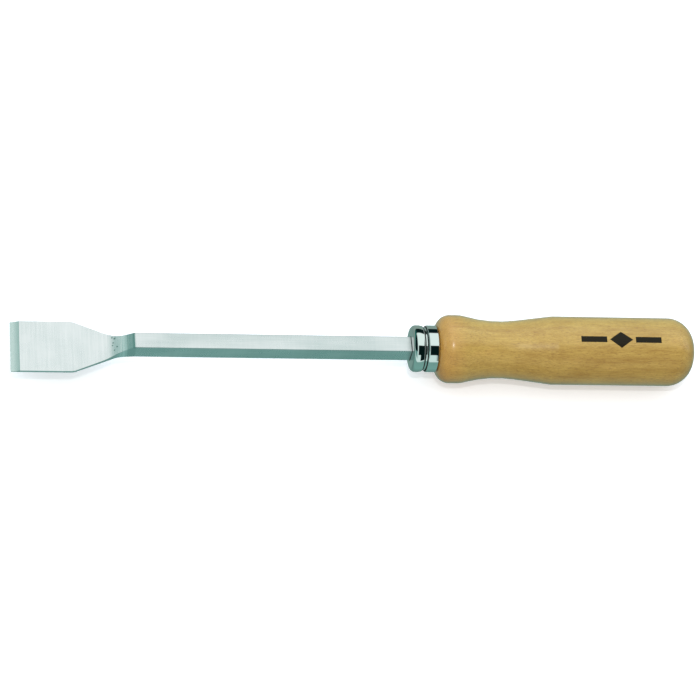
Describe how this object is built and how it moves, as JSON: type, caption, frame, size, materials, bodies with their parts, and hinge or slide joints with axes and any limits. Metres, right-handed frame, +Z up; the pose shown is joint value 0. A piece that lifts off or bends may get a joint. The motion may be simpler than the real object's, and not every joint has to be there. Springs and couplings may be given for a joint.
{
  "type": "flat scraper",
  "caption": "Flat scraper with a cranked steel blade on a square shank, a bright ferrule and a turned beech handle.",
  "frame": {"origin": "under the middle of the tool's length, level with the lowest line of the handle", "axes": "+X along the tool from the cutting edge to the end of the handle, +Z up with the ground and bevelled face of the blade on top, +Y across the blade"},
  "size_m": [0.3, 0.03, 0.03],
  "materials": {
    "tool_steel": "ground bright on the blade, forged and linished on the neck and bar",
    "ferrule_plating": "bright plated",
    "beech": "turned beech, fine longitudinal flecks, clear gloss lacquer"
  },
  "bodies": {
    "root": {"blade_and_shank": "tool_steel", "ferrule": "ferrule_plating", "handle": "beech"}
  },
  "joints": []
}
